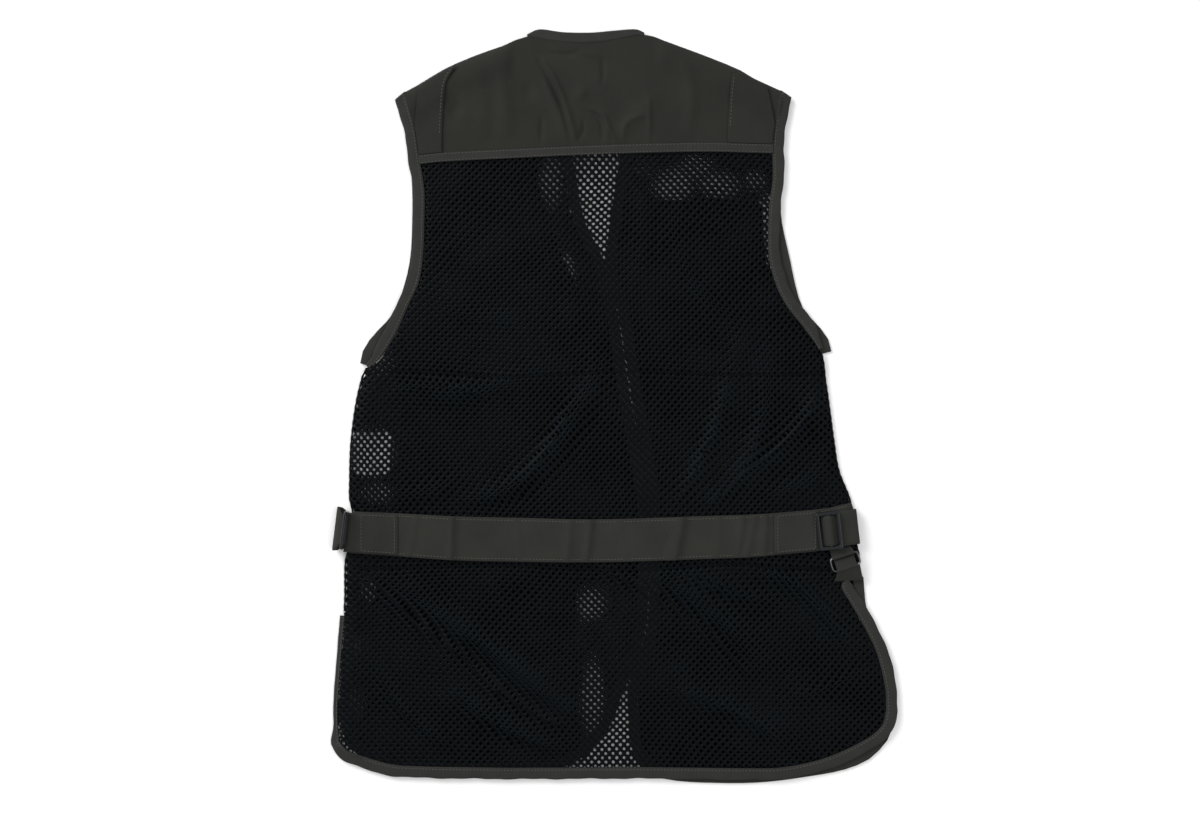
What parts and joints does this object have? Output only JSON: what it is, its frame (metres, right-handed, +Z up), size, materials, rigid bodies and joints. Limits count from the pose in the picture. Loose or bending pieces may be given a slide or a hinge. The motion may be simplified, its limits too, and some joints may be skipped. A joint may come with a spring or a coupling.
{
  "type": "shooting vest",
  "caption": "Sleeveless shooting vest of open mesh with a cloth yoke, bound edges, a back belt and slide buckles, laid flat on its front.",
  "frame": {"origin": "middle of the vest's floor plan, on the surface it lies on", "axes": "+Z up from the surface, +Y towards the neck, +X towards the wearer's right side; the back panel is on top"},
  "size_m": [0.5662, 0.753, 0.0244],
  "materials": {
    "mesh": "matt black open knitted mesh",
    "cloth": "matt dark olive plain-woven cloth",
    "binding": "dark olive folded cloth binding, topstitched",
    "webbing": "dark olive cloth belt and tabs",
    "plastic": "glossy near-black moulded plastic",
    "ring_metal": "dark plated wire"
  },
  "bodies": {
    "root": {"back_mesh": "mesh", "neck_mesh_left": "mesh", "side_mesh_left": "mesh", "hem_mesh_left": "mesh", "chest_mesh_right": "mesh", "yoke": "cloth", "shoulder_patch_left": "cloth", "shoulder_patch_right": "cloth", "front_left": "cloth", "front_right": "cloth", "yoke_tape": "binding", "neck_binding": "binding", "armhole_binding_back_left": "binding", "armhole_binding_back_right": "binding", "armhole_binding_front_left": "binding", "armhole_binding_front_right": "binding", "hem_binding_back": "binding", "front_edge_binding_left": "binding", "front_edge_binding_right": "binding", "hem_binding_front_left": "binding", "hem_binding_front_right": "binding", "belt": "webbing", "belt_tab_left": "webbing", "belt_tab_right": "webbing", "belt_strap_left": "webbing", "belt_strap_right": "webbing", "ring_loop": "webbing", "vent_tab": "webbing", "buckle_left": "plastic", "buckle_right": "plastic", "ring": "ring_metal"}
  },
  "joints": []
}
